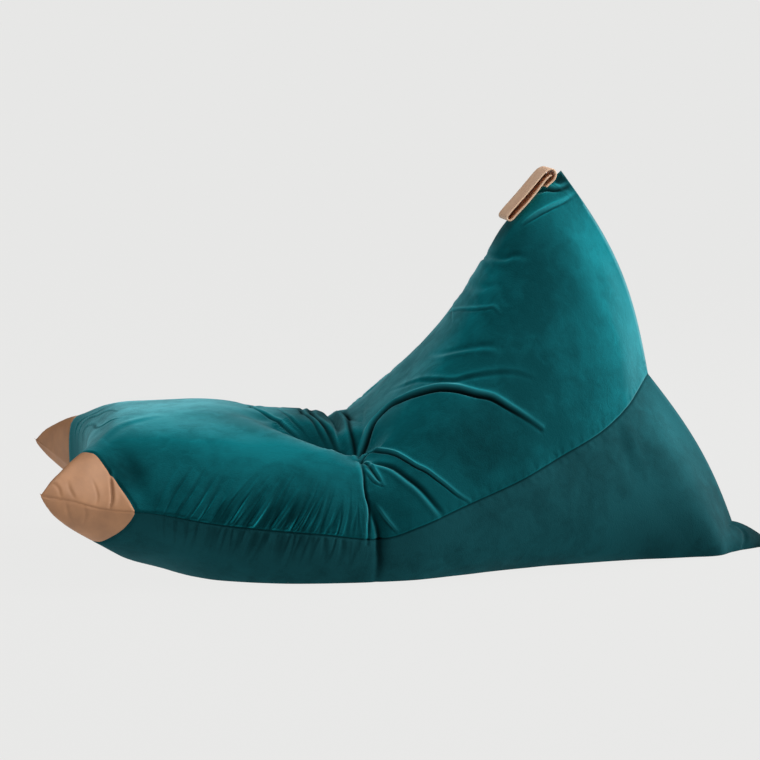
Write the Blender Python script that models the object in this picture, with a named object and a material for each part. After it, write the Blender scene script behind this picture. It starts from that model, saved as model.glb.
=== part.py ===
"""Triangular pouf: a velvet bag filled with beads, two leather corner caps and a leather handle.

Metres, +Z up. The pouf stands on the floor at z = 0, its seat points to -Y and its back is at +Y.
The bag is two velvet panels, one above and one below. A side seam joins them on each side, a level
seam closes the front and an upright seam closes the back, so the closed bag has four corners, as a
tetrahedron has: two in front, under the leather caps, the apex and the flat tail on the floor.
"""
import math
from collections import namedtuple

import bmesh
import bpy
import numpy as np
from mathutils import Vector

# Driving sizes.
GAP = 0.0003                    # play between two pieces that touch
ROWS = 76                       # steps along the bag, front seam to back seam
AROUND = 56                     # steps round each row
CAP_SIDE = (0.380, -0.486)      # x, y where a cap's edge crosses the side seam
CAP_FRONT = (0.288, -0.577)     # x, y where a cap's edge crosses the front seam
TAIL_REACH = 0.070              # how far the unfilled tail corner stands out behind
TAIL_START = 14.1               # row where the tail begins
TAIL_RISE = 0.86                # share of the back seam, from its middle, above the tail
TAIL_FLARE = 0.6                # less than 1 makes the tail leave the back seam more suddenly
FRONT_BOW = 3.0                 # how squarely the front seam runs out into its two corners
STRAP_WIDTH = 0.100
STRAP_THICK = 0.003
STRAP_LIFT = 0.0005             # play under the strap's root
SAG_SQUARE = 0.4                # how squarely that ends on the floor
FAR_TUCK = 0.33                 # how much flatter the right front corner is below its seam
TUCK_END, TUCK_ROWS = 3.5, 2    # row where that ends and the rows over which it dies out
SHARP_ANGLE = 60                # degrees; a steeper edge than this stays crisp

# The bag's cross-sections, from the front seam to the back seam. Each goes from the top centre line
# through the side seam to the floor centre line. top_square and floor_square shape the two halves:
# 1 is round, less is squarer. bow swells a half outwards. horn is how far a half follows the front
# seam out to the corners. spread bends the row along Y between the seam and the centre lines. lift
# bends a half along Z: above 1 it leaves the seam more slowly. floor_sag is how far the fill spreads
# the lower half near the floor.
Section = namedtuple("Section", "top_y top_z seam_y seam_z floor_y floor_z half_width top_square "
                                "floor_square top_bow floor_bow spread top_horn floor_horn "
                                "top_lift floor_lift floor_sag")
SECTIONS = [Section(*numbers) for numbers in (
    (-.560, .120, -.659, .181, -.560,  .120, .403, 1.0, 1.0, .000, .000, 1.0, 1.0, 1.0, 1.0, 1.0, .000),
    (-.562, .224, -.651, .175, -.524,  .058, .401, .48, .84, .000, .000, 1.6, 1.0, 0.6, 0.9, 1.0, .000),
    (-.532, .263, -.608, .164, -.500,  .026, .392, .52, .80, .000, .000, 1.6, 0.8, 0.3, 1.1, 1.1, .000),
    (-.500, .284, -.542, .146, -.478,  .006, .381, .60, .80, .000, .000, 1.6, 0.2, 0.1, 1.6, 1.3, .000),
    (-.430, .292, -.450, .137, -.418, -.010, .384, .66, .68, .000, .000, 1.0, 0.0, 0.0, 1.5, 1.4, .000),
    (-.330, .295, -.350, .119, -.330, -.034, .398, .75, .58, .000, .000, 1.0, 0.0, 0.0, 1.2, 1.1, .000),
    (-.230, .283, -.250, .107, -.230, -.055, .405, .74, .55, .000, .000, 1.0, 0.0, 0.0, 1.0, 1.0, .000),
    (-.150, .275, -.150, .097, -.130, -.060, .404, .70, .52, .000, .000, 1.0, 0.0, 0.0, 1.0, 1.0, .000),
    (-.078, .262, -.045, .085, -.030, -.060, .390, .62, .50, .000, .000, 1.0, 0.0, 0.0, 1.0, 1.0, .000),
    (-.028, .287,  .030, .106,  .070, -.050, .388, .78, .58, .000, .000, 1.0, 0.0, 0.0, 1.0, 1.0, .000),
    ( .053, .365,  .115, .139,  .200, -.035, .365, .85, .68, .000, .000, 1.0, 0.0, 0.0, 1.0, 1.0, .000),
    ( .130, .451,  .224, .177,  .340, -.025, .315, .90, .66, .000, .000, 1.0, 0.0, 0.0, 1.0, 1.0, .000),
    ( .192, .552,  .309, .213,  .480, -.022, .258, .95, .62, .000, .004, 1.0, 0.0, 0.0, 1.0, 1.0, .000),
    ( .241, .631,  .398, .250,  .590, -.024, .190, .85, .52, .012, .008, 1.0, 0.0, 0.0, 1.0, 1.0, .028),
    ( .296, .687,  .465, .292,  .662, -.016, .114, .70, .44, .024, .018, 1.0, 0.0, 0.0, 1.0, 1.0, .070),
    ( .350, .735, .5235, .340,  .711, -.004, .000, .80, .60, .031, .021, 1.0, 0.0, 0.0, 1.0, 1.0, .000),
)]
LAST_ROW = len(SECTIONS) - 1

# The main folds. A path is (row, turn): turn is -1 at the floor centre line, 0 at the side seam and
# 1 at the top centre line. trough is the fold's depth, ridge the height of the roll on its upper
# side, width their half width. far is the share of the fold that its mirror image has.
Fold = namedtuple("Fold", "name trough ridge width far path")
FOLDS = [
    Fold("waist groove", .014, .000, .024, 1.0,
         [(8.0, .73), (8.03, .56), (8.0, .33), (8.0, .15), (8.0, 0), (8.0, -.15), (7.9, -.4)]),
    Fold("back roll", .012, .010, .024, 0.8,
         [(8.3, .63), (8.83, .75), (9.58, .76), (10.28, .60), (10.82, .43), (11.38, .25), (11.8, .12)]),
    Fold("waist roll", .010, .010, .020, 0.9,
         [(8.2, .57), (8.85, .54), (9.35, .36), (9.7, .17), (10.1, .03)]),
    Fold("low waist roll", .007, .005, .016, 0.7,
         [(8.2, .52), (8.65, .42), (9.05, .23), (9.4, .03)]),
    Fold("seat furrow", .056, .000, .042, 0.9,
         [(8.13, .62), (8.0, .70), (7.8, .74), (7.5, .76), (7.15, .78), (6.8, .81), (6.5, .84), (6.0, .90)]),
    Fold("front pleat", .005, .003, .016, 1.0,
         [(0.9, .92), (1.08, .96), (1.75, .91), (2.28, .91), (2.82, .94), (3.4, .98)]),
    Fold("upper front pleat", .004, .003, .016, 0.8,
         [(2.26, .58), (2.45, .67), (2.89, .75), (3.27, .80), (4.0, .84)]),
    Fold("apex gather", .008, .007, .014, 0.9,
         [(13.4, .78), (13.9, .70), (14.4, .66), (14.9, .63)]),
    Fold("shoulder fold", .006, .004, .018, 0.6,
         [(12.2, .95), (12.6, .82), (13.1, .71), (13.6, .66)]),
    Fold("lumbar fold", .005, .004, .016, 0.7,
         [(11.0, 1.0), (11.3, .86), (11.65, .68), (11.9, .60)]),
    Fold("tail root", .006, .000, .014, 1.0,
         [(14.85, -.66), (14.75, -.71), (14.6, -.76), (14.42, -.84)]),
]
FOLD_STATIONS = 8               # stations between two points of a path
FOLD_ENDS = (0.04, 0.96)        # share of a path past which a fold is at its shallowest
FOLD_FADE = 0.7                 # less than 1 keeps a fold deep for longer towards its ends
ROLL_STEP = 1.4                 # from a fold's trough to its roll, in widths
SEAM_FADE = (1.2, 0.8)          # rows over which the folds die out towards the front and back seams

# The leather handle's centre line in the plane of symmetry. Its root is sewn flat to the top centre
# line just in front of the apex. From there it curls forward over itself, runs down the front of
# the back, turns, and comes up underneath with its end tucked into the curl.
STRAP_ROOT_ROWS = (14.35, 14.48, 14.60)
STRAP_LOOP = [
    (.3305, .7225), (.3322, .7300), (.3295, .7372), (.3225, .7395), (.3120, .7345), (.2990, .7203),
    (.2815, .6995), (.2635, .6790), (.2465, .6600), (.2385, .6490), (.2405, .6430), (.2480, .6438),
    (.2598, .6565), (.2778, .6757), (.2940, .6952), (.3075, .7130), (.3165, .7235), (.3235, .7285),
]
STRAP_STEPS = 3                 # steps between two points of the path


def spline(points, at):
    """A Catmull-Rom curve through evenly numbered points, read at fractional numbers."""
    points = np.asarray(points, float)
    last = len(points) - 1
    at = np.clip(np.asarray(at, float), 0, last)
    index = np.minimum(at.astype(int), last - 1)
    step = (at - index).reshape(at.shape + (1,) * (points.ndim - 1))
    before = np.where(index[..., None] == 0, 2 * points[0] - points[1], points[np.maximum(index - 1, 0)])
    start, end = points[index], points[index + 1]
    past_end = (index == last - 1)[..., None]
    after = np.where(past_end, 2 * points[last] - points[last - 1], points[np.minimum(index + 2, last)])
    return 0.5 * (2 * start + (end - before) * step
                  + (2 * before - 5 * start + 4 * end - after) * step ** 2
                  + (3 * start - before - 3 * end + after) * step ** 3)


def smooth(value):
    """Eases from 0 to 1."""
    value = np.clip(value, 0, 1)
    return value * value * (3 - 2 * value)


def bag_point(row, turn):
    """Points of the smooth bag. turn runs round a row: -1 floor, 0 side seam, 1 top, 2 far seam."""
    row, turn = np.broadcast_arrays(np.asarray(row, float), np.asarray(turn, float))
    column = Section(*np.moveaxis(spline(SECTIONS, row), -1, 0))
    far = turn > 1
    half_turn = np.where(far, 2 - turn, turn)
    upper = half_turn >= 0
    across = np.maximum(np.cos(half_turn * math.pi / 2), 1e-9)
    rise = np.abs(np.sin(half_turn * math.pi / 2))

    x = column.half_width.clip(0) * across ** np.where(upper, column.top_square, column.floor_square)
    x = x + np.where(upper, 0, column.floor_sag.clip(0) * rise ** 2 * across ** SAG_SQUARE)
    to_y = np.where(upper, column.top_y, column.floor_y) - column.seam_y
    to_z = np.where(upper, column.top_z, column.floor_z) - column.seam_z
    inset = 1 - (x / SECTIONS[0].half_width).clip(0, 1) ** FRONT_BOW
    horn = np.where(upper, column.top_horn, column.floor_horn)
    along = (1 - horn) * rise ** column.spread + horn * inset
    flat = (1 - row).clip(0, 1)
    height = (1 - flat) * rise ** np.where(upper, column.top_lift, column.floor_lift) + flat * inset
    length = np.hypot(to_y, to_z) + 1e-9
    bow = np.where(upper, column.top_bow, -column.floor_bow) * np.sin(math.pi * rise)
    y = column.seam_y + to_y * along + bow * to_z / length
    z = column.seam_z + to_z * height - bow * to_y / length
    share = x / (column.half_width.clip(0) + 1e-9)
    tucked = smooth(row) * smooth((TUCK_END - row) / TUCK_ROWS)
    tuck = np.where(far & ~upper, FAR_TUCK * tucked * share ** 2, 0)
    z = z - tuck * to_z * height

    tail = smooth((row - TAIL_START) / (LAST_ROW - TAIL_START))
    low = np.where(upper, 0, ((rise - TAIL_RISE) / (1 - TAIL_RISE)).clip(0, 1)) ** TAIL_FLARE
    y = y + TAIL_REACH * tail * low
    return np.stack([np.where(far, -x, x), y, z], -1)


def even_turns(row):
    """Turns round one row that divide its lower and its upper length evenly, from the floor up."""
    quarters = []
    for start in (-1, 0):
        fine = np.linspace(start, start + 1, 81)
        steps = np.linalg.norm(np.diff(bag_point(row, fine), axis=0), axis=1)
        run = np.concatenate([[0], np.cumsum(steps)])
        quarters.append(np.interp(np.linspace(0, run[-1], AROUND // 4 + 1), run, fine)[:-1])
    near = np.concatenate(quarters + [[1]])
    return np.concatenate([near, 2 - near[-2:0:-1]])


def fold_relief(points, normals):
    """How far each point moves along its normal, from all the folds that pass near it."""
    move = np.zeros(len(points))
    for fold in FOLDS:
        path = np.array(fold.path)
        stations = spline(path, np.linspace(0, len(path) - 1, FOLD_STATIONS * len(path)))
        for side, share in ((1, 1.0), (-1, fold.far)):
            line = bag_point(stations[:, 0], stations[:, 1]) * (side, 1, 1)
            offset = points[:, None] - line[None]
            nearest = np.argmin((offset ** 2).sum(-1), axis=1)
            tangent = np.gradient(line, axis=0)[nearest]
            away = offset[np.arange(len(points)), nearest]
            along = nearest / (len(line) - 1)
            uphill = side * np.sign((np.cross(tangent, away) * normals).sum(-1))
            distance = np.linalg.norm(away, axis=1)
            ends = np.sin(math.pi * along.clip(*FOLD_ENDS)) ** FOLD_FADE
            trough = fold.trough * np.exp(-(distance / fold.width) ** 2)
            ridge = fold.ridge * np.exp(-(uphill * distance / fold.width - ROLL_STEP) ** 2)
            move += share * ends * (ridge - trough)
    return move


def filled_bag():
    """The whole bag, caps and all, as one closed mesh that stands flat on the floor."""
    rows = np.linspace(0, LAST_ROW, ROWS + 1)
    turns = np.array([even_turns(row) for row in rows])
    grid = bag_point(rows[:, None], turns)
    along = np.gradient(grid, axis=0)
    around = np.roll(grid, -1, axis=1) - np.roll(grid, 1, axis=1)
    normals = np.cross(along, around)
    normals /= np.linalg.norm(normals, axis=-1, keepdims=True) + 1e-12
    seam_fade = np.minimum(rows / SEAM_FADE[0], (LAST_ROW - rows) / SEAM_FADE[1]).clip(0, 1)[:, None]
    relief = fold_relief(grid.reshape(-1, 3), normals.reshape(-1, 3)).reshape(grid.shape[:2])
    grid = grid + normals * (relief * seam_fade)[..., None]

    mesh = bmesh.new()
    verts = [[mesh.verts.new(point) for point in ring] for ring in grid]
    quarter = AROUND // 4
    corners = {verts[0][quarter], verts[0][3 * quarter], verts[-1][0], verts[-1][2 * quarter]}
    for ring, following in zip(verts, verts[1:]):
        for i in range(AROUND):
            j = (i + 1) % AROUND
            quad = [ring[i], ring[j], following[j], following[i]]
            corner = next((k for k in range(4) if quad[k] in corners), None)
            if corner is None:
                mesh.faces.new(quad)
            else:
                fan = quad[corner:] + quad[:corner]
                mesh.faces.new((fan[0], fan[1], fan[2]))
                mesh.faces.new((fan[0], fan[2], fan[3]))
    bmesh.ops.remove_doubles(mesh, verts=mesh.verts, dist=1e-5)
    bmesh.ops.dissolve_degenerate(mesh, edges=mesh.edges, dist=1e-5)
    bmesh.ops.recalc_face_normals(mesh, faces=mesh.faces)
    cut_away(mesh, Vector((0, 0, 0)), Vector((0, 0, -1)))
    return mesh


def cut_away(mesh, point, normal):
    """Cut off what lies on the normal's side of a plane, and close the cut."""
    geometry = mesh.verts[:] + mesh.edges[:] + mesh.faces[:]
    bmesh.ops.bisect_plane(mesh, geom=geometry, plane_co=point, plane_no=normal, dist=1e-6,
                           clear_outer=True)
    edges = [edge for edge in mesh.edges if edge.is_boundary]
    bmesh.ops.holes_fill(mesh, edges=edges, sides=0)
    bmesh.ops.dissolve_degenerate(mesh, edges=mesh.edges, dist=1e-5)


def material(name, colour, roughness):
    made = bpy.data.materials.new(name)
    made.use_nodes = True
    shader = made.node_tree.nodes["Principled BSDF"]
    shader.inputs["Base Color"].default_value = (*colour, 1)
    shader.inputs["Roughness"].default_value = roughness
    return made


def add_piece(name, mesh, finish, parent):
    bmesh.ops.triangulate(mesh, faces=mesh.faces)
    bmesh.ops.recalc_face_normals(mesh, faces=mesh.faces)
    data = bpy.data.meshes.new(name)
    mesh.to_mesh(data)
    mesh.free()
    data.materials.append(finish)
    data.shade_smooth()
    data.set_sharp_from_angle(angle=math.radians(SHARP_ANGLE))
    piece = bpy.data.objects.new(name, data)
    bpy.context.scene.collection.objects.link(piece)
    piece.parent = parent
    return piece


def cap_plane(side):
    """A point on a cap's edge and the direction from the bag into the cap."""
    start = Vector((side * CAP_SIDE[0], CAP_SIDE[1], 0))
    end = Vector((side * CAP_FRONT[0], CAP_FRONT[1], 0))
    into_cap = Vector((0, 0, side)).cross(end - start).normalized()
    return start, into_cap


def strap_mesh():
    """A strip of even thickness along the strap's path, as wide as the handle."""
    crest = bag_point(STRAP_ROOT_ROWS, 1)[:, 1:]
    slope = (crest[-1] - crest[0]) / np.linalg.norm(crest[-1] - crest[0])
    root = crest + np.array([-slope[1], slope[0]]) * (STRAP_THICK / 2 + STRAP_LIFT)
    path = np.concatenate([root, STRAP_LOOP])
    count = (len(path) - 1) * STRAP_STEPS + 1
    line = spline(path, np.linspace(0, len(path) - 1, count))
    tangent = np.gradient(line, axis=0)
    tangent /= np.linalg.norm(tangent, axis=1, keepdims=True)
    outward = np.stack([tangent[:, 1], -tangent[:, 0]], -1) * STRAP_THICK / 2
    outline = np.concatenate([line + outward, (line - outward)[::-1]])

    mesh = bmesh.new()
    edges = [[mesh.verts.new((x, y, z)) for y, z in outline]
             for x in (-STRAP_WIDTH / 2, STRAP_WIDTH / 2)]
    for i in range(len(outline)):
        j = (i + 1) % len(outline)
        mesh.faces.new((edges[0][i], edges[0][j], edges[1][j], edges[1][i]))
    for side, edge in enumerate(edges):
        for i in range(count - 1):
            quad = [edge[i], edge[i + 1], edge[-i - 2], edge[-i - 1]]
            mesh.faces.new(quad if side else quad[::-1])
    return mesh


for leftover in list(bpy.data.objects):
    bpy.data.objects.remove(leftover, do_unlink=True)

pouf = bpy.data.objects.new("pouf", None)
bpy.context.scene.collection.objects.link(pouf)
velvet = material("teal_velvet", (0.010, 0.105, 0.110), 0.85)
leather = material("tan_leather", (0.520, 0.300, 0.180), 0.60)

bag = filled_bag()
whole = bag.copy()
for side, name in ((1, "corner_cap_left"), (-1, "corner_cap_right")):
    point, into_cap = cap_plane(side)
    cap = whole.copy()
    cut_away(cap, point + into_cap * GAP / 2, -into_cap)
    cut_away(bag, point - into_cap * GAP / 2, into_cap)
    add_piece(name, cap, leather, pouf)
whole.free()
add_piece("bag_velvet", bag, velvet, pouf)
add_piece("handle_strap", strap_mesh(), leather, pouf)
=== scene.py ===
import math
from collections import namedtuple

import bmesh
import bpy
import numpy as np
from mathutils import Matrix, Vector, noise


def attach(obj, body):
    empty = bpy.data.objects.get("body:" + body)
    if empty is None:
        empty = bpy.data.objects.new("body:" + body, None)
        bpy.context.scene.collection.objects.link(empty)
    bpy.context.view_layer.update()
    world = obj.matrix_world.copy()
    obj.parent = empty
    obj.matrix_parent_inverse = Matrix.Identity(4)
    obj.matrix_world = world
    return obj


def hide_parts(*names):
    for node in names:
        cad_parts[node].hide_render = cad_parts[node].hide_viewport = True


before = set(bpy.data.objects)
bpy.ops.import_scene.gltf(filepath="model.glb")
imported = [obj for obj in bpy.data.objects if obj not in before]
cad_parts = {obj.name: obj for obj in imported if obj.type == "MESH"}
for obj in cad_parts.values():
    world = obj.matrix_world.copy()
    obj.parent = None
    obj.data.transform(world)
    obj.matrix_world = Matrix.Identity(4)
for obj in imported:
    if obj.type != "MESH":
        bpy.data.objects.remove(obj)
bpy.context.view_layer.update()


# The bag: an upper and a lower panel of teal velvet, filled with beads. A side seam joins the panels
# on each side, a level seam closes the front and an upright seam closes the back. The loose fill
# lets it fold at the waist between seat and back, and the panels gather there and along the seams.
TAIL_REACH, TAIL_START, TAIL_RISE, TAIL_FLARE = 0.070, 14.1, 0.86, 0.6   # the ear of cloth behind
FRONT_BOW = 3.0                 # how late the front seam bends away to its corners
SAG_SQUARE = 0.4                # how squarely the fill spreads the lower half near the floor
FAR_TUCK = 0.33                 # how much flatter the far front corner is below its seam

# The bag's sections, from the front seam to the rear seam. top, seam and floor are where the top
# centre line, the side seams and the floor centre line lie. half_width is out to a side seam, and
# the rest shape the two panels between these lines.
Section = namedtuple("Section", "top_y top_z seam_y seam_z floor_y floor_z half_width top_square "
                                "floor_square top_bow floor_bow spread top_horn floor_horn "
                                "top_lift floor_lift floor_sag")
SECTIONS = [Section(*numbers) for numbers in (
    (-.560, .120, -.659, .181, -.560,  .120, .403, 1.0, 1.0, .000, .000, 1.0, 1.0, 1.0, 1.0, 1.0, .000),
    (-.562, .224, -.651, .175, -.524,  .058, .401, .48, .84, .000, .000, 1.6, 1.0, 0.6, 0.9, 1.0, .000),
    (-.532, .263, -.608, .164, -.500,  .026, .392, .52, .80, .000, .000, 1.6, 0.8, 0.3, 1.1, 1.1, .000),
    (-.500, .284, -.542, .146, -.478,  .006, .381, .60, .80, .000, .000, 1.6, 0.2, 0.1, 1.6, 1.3, .000),
    (-.430, .292, -.450, .137, -.418, -.010, .384, .66, .68, .000, .000, 1.0, 0.0, 0.0, 1.5, 1.4, .000),
    (-.330, .295, -.350, .119, -.330, -.034, .398, .75, .58, .000, .000, 1.0, 0.0, 0.0, 1.2, 1.1, .000),
    (-.230, .283, -.250, .107, -.230, -.055, .405, .74, .55, .000, .000, 1.0, 0.0, 0.0, 1.0, 1.0, .000),
    (-.150, .275, -.150, .097, -.130, -.060, .404, .70, .52, .000, .000, 1.0, 0.0, 0.0, 1.0, 1.0, .000),
    (-.078, .262, -.045, .085, -.030, -.060, .390, .62, .50, .000, .000, 1.0, 0.0, 0.0, 1.0, 1.0, .000),
    (-.028, .287,  .030, .106,  .070, -.050, .388, .78, .58, .000, .000, 1.0, 0.0, 0.0, 1.0, 1.0, .000),
    ( .053, .365,  .115, .139,  .200, -.035, .365, .85, .68, .000, .000, 1.0, 0.0, 0.0, 1.0, 1.0, .000),
    ( .130, .451,  .224, .177,  .340, -.025, .315, .90, .66, .000, .000, 1.0, 0.0, 0.0, 1.0, 1.0, .000),
    ( .192, .552,  .309, .213,  .480, -.022, .258, .95, .62, .000, .004, 1.0, 0.0, 0.0, 1.0, 1.0, .000),
    ( .241, .631,  .398, .250,  .590, -.024, .190, .85, .52, .012, .008, 1.0, 0.0, 0.0, 1.0, 1.0, .028),
    ( .296, .687,  .465, .292,  .662, -.016, .114, .70, .44, .024, .018, 1.0, 0.0, 0.0, 1.0, 1.0, .070),
    ( .350, .735, .5235, .340,  .711, -.004, .000, .80, .60, .031, .021, 1.0, 0.0, 0.0, 1.0, 1.0, .000),
)]
LAST_ROW = len(SECTIONS) - 1

# Folds in the cloth. A path is (row, turn): turn 0 is the side seam, 1 the top centre line and -1 the
# floor centre line. trough is a fold's depth and width its half width. ridge is the height of the
# roll on its upper side and roll how far that takes to die out. far is the share of the fold that
# shows on the other side of the bag.
Fold = namedtuple("Fold", "name trough ridge width roll far path")
FOLDS = [
    Fold("seat furrow", .056, .000, .042, .042, 0.9,
         [(8.13, .62), (8.0, .70), (7.8, .74), (7.5, .76), (7.15, .78), (6.8, .81), (6.5, .84), (6.0, .90)]),
    Fold("waist groove", .006, .000, .011, .012, 1.0,
         [(8.0, .33), (8.02, .21), (8.03, .11), (8.02, .03), (8.0, -.08), (7.97, -.21), (7.88, -.32)]),
    Fold("waist line", .0065, .0030, .0028, .005, 0.9,
         [(7.76, -.04), (7.80, .04), (7.85, .11), (7.91, .18), (7.93, .23), (7.91, .29), (7.93, .36),
          (7.98, .43), (8.02, .51), (8.05, .58)]),
    Fold("waist fold line", .0030, .000, .0051, .005, 1.0,
         [(7.96, .20), (7.99, .14), (8.02, .08), (8.01, .02), (7.98, -.07), (7.98, -.17), (7.95, -.28),
          (7.90, -.38)]),
    Fold("waist fold", .0080, .000, .0066, .012, 1.0,
         [(7.92, .28), (7.96, .20), (7.99, .14), (8.02, .08), (8.01, .02), (7.98, -.07), (7.98, -.17),
          (7.95, -.28), (7.88, -.42)]),
    Fold("back roll", .0090, .0060, .0050, .0060, 0.8,
         [(8.05, .60), (8.15, .69), (8.30, .735), (8.66, .77), (9.0, .79), (9.36, .785), (9.6, .74),
          (9.92, .67), (10.23, .60), (10.5, .52), (10.77, .43), (11.03, .36), (11.26, .28), (11.5, .205),
          (11.78, .12)]),
    Fold("waist roll", .0060, .0042, .0026, .0032, 0.9,
         [(8.05, .57), (8.12, .60), (8.3, .635), (8.54, .62), (8.81, .55), (9.02, .48), (9.17, .41),
          (9.33, .33), (9.48, .27), (9.62, .20), (9.75, .14), (9.90, .07), (10.07, .01)]),
    Fold("low waist roll", .0045, .0035, .0050, .006, 0.7,
         [(9.52, .02), (9.45, .07), (9.27, .20), (9.1, .29), (8.85, .41), (8.5, .50), (8.25, .54)]),
    Fold("waist nick", .004, .003, .003, .004, 0.8,
         [(8.08, .57), (8.2, .53), (8.28, .44), (8.38, .33)]),
    Fold("second waist nick", .002, .003, .0025, .004, 0.8,
         [(8.02, .48), (8.16, .38), (8.36, .33)]),
    Fold("seam nick", .0025, .0025, .0024, .003, 0.6,
         [(8.05, .22), (8.22, .11), (8.40, .02)]),
    Fold("first fan fold", .0035, .0018, .0035, .005, 0.8,
         [(5.7, 1.02), (5.9, .98), (6.17, .93), (6.49, .88), (6.8, .84)]),
    Fold("second fan fold", .0022, .0006, .0030, .004, 0.8,
         [(6.4, 1.0), (6.53, .95), (6.71, .90), (7.0, .85)]),
    Fold("third fan fold", .0040, .0009, .0040, .005, 0.9,
         [(6.9, 1.04), (7.0, .98), (7.1, .94), (7.27, .87), (7.6, .80)]),
    Fold("fourth fan fold", .0052, .0011, .0050, .005, 0.9,
         [(7.2, 1.02), (7.27, .97), (7.36, .92), (7.56, .85), (7.85, .77)]),
    Fold("deep fan fold", .0110, .0035, .0070, .009, 0.9,
         [(7.95, 1.2), (7.90, 1.08), (7.82, .98), (7.76, .89), (7.81, .80), (7.92, .70)]),
    Fold("first back fan fold", .0050, .0010, .0045, .008, 0.8,
         [(8.04, .62), (8.08, .72), (8.08, .80), (8.08, .88), (8.21, .97), (8.5, 1.1)]),
    Fold("second back fan fold", .0020, .000, .0060, .008, 0.8,
         [(8.2, .73), (8.35, .80), (8.54, .86), (8.85, .97), (9.06, 1.06)]),
    Fold("front pleat", .0017, .0009, .0026, .004, 0,
         [(0.7, 1.24), (1.1, 1.18), (1.6, 1.13), (2.1, 1.10), (2.5, 1.08)]),
    Fold("second front pleat", .0017, .0009, .0026, .004, 0,
         [(0.7, 1.18), (1.2, 1.11), (1.8, 1.06), (2.4, 1.02), (2.9, .99)]),
    Fold("third front pleat", .0017, .0009, .0026, .004, 0,
         [(0.68, 1.11), (1.2, 1.04), (1.8, .98), (2.4, .94), (2.95, .90)]),
    Fold("upper front pleat", .0009, .0024, .009, .011, 0.8,
         [(2.26, .58), (2.45, .67), (2.89, .75), (3.27, .80), (4.0, .84)]),
    Fold("hollow behind the cap", .006, .000, .016, .018, 0.9,
         [(3.0, .62), (3.2, .52), (3.45, .40), (3.65, .26), (3.85, .10)]),
    Fold("upper apex gather", .005, .003, .0045, .006, 0.9,
         [(14.1, .98), (14.34, .90), (14.53, .82), (14.75, .77), (14.95, .75)]),
    Fold("apex gather", .003, .004, .0035, .005, 0.9,
         [(13.35, .80), (13.6, .785), (13.83, .77), (14.14, .74), (14.55, .70), (14.9, .68)]),
    Fold("shoulder fold", .0034, .0015, .007, .010, 0.6,
         [(12.95, .66), (12.75, .72), (12.5, .78), (12.30, .90), (12.22, 1.0), (12.15, 1.15), (12.1, 1.4)]),
    Fold("neck fold", .0022, .001, .008, .012, 0.7,
         [(11.5, 1.35), (11.55, 1.1), (11.65, .92), (11.8, .80), (12.1, .70)]),
    Fold("lumbar fold", .0010, .0018, .0032, .005, 0.7,
         [(11.0, 1.10), (11.12, 1.0), (11.35, .82), (11.62, .70), (11.78, .65), (11.84, .60)]),
    Fold("upper back fold", .0022, .0016, .0075, .007, 0.7,
         [(11.6, .48), (11.45, .53), (11.2, .60), (10.9, .68), (10.6, .77), (10.4, .86)]),
    Fold("soft back fold", .0016, .0022, .0055, .007, 0.8,
         [(9.5, .92), (9.7, .84), (9.96, .755), (10.22, .66), (10.5, .57), (10.82, .51), (11.3, .42),
          (11.72, .34), (12.0, .28)]),
    Fold("flank fold", .003, .002, .014, .014, 0.7,
         [(13.43, -.01), (13.28, -.07), (13.12, -.14), (12.97, -.22)]),
    Fold("tail root", .006, .000, .006, .010, 1.0,
         [(14.85, -.66), (14.75, -.71), (14.6, -.76), (14.42, -.84)]),
    Fold("tip crease", .0008, .0006, .0035, .007, 1.0,
         [(1.06, .17), (1.27, .20), (1.52, .14), (1.63, .07), (1.68, .02)]),
    Fold("middle crease", .0008, .0005, .0035, .007, 0.8,
         [(1.76, .24), (1.88, .16), (2.02, .10), (2.14, .05)]),
    Fold("long crease", .0026, .0022, .0028, .006, 0.9,
         [(2.88, .42), (2.95, .36), (3.04, .27), (3.09, .18), (3.08, .08)]),
    Fold("short crease", .0007, .0005, .0030, .007, 0.9,
         [(2.47, .30), (2.62, .25), (2.73, .18), (2.74, .10)]),
    Fold("low crease", .0007, .0004, .0035, .007, 1.0,
         [(1.89, -.01), (1.82, -.11), (1.71, -.22)]),
    Fold("second low crease", .0007, .0004, .0035, .007, 0.8,
         [(2.43, -.01), (2.42, -.11), (2.17, -.22)]),
]
ROLL_PLACE = 1.7                # from a fold's trough to the crest of its roll, in widths
PINCH, PINCH_DEPTH, PINCH_WIDTH = (8.05, .585), .007, .006      # where the waist folds meet
FILL_LUMPS = ((5.5, 0.0035), (16, 0.0012))    # lumps of the fill: how many to a metre, how high

# Puckers where the thread draws the velvet in along the side seams. side is 1 above the seam and -1
# below it, first and last are rows, and lean is how far the outer ends tilt towards the back. Finer
# gathers between them are in the velvet's material, this far apart and this long.
Puckers = namedtuple("Puckers", "side first last spacing length depth lean")
PUCKERS = [
    Puckers(1, 3.9, 7.8, .015, .120, .0032, .55),
    Puckers(1, 4.6, 7.4, .034, .150, .0036, .50),
    Puckers(-1, 3.9, 7.8, .024, .080, .0030, -.40),
    Puckers(1, 8.3, 14.6, .022, .040, .0010, .10),
    Puckers(-1, 8.3, 14.6, .024, .040, .0010, -.10),
]
PUCKER_WIDTHS = (.0034, .0052)                # the narrowest and the widest
GATHER_SPACING, GATHER_LENGTH, GATHER_REACH = 0.021, 0.16, 0.88
FAR_GATHERS = 3.7               # how far along the pattern of gathers the far side starts
SEAM_DEPTH, SEAM_WIDTH, CAP_SEAM = 0.0024, 0.0020, 0.8    # CAP_SEAM is the share of it in leather
LIP_HEIGHT, LIP_WIDTH = 0.0008, 0.0045        # the upper panel stands a little proud of the seam
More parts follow.
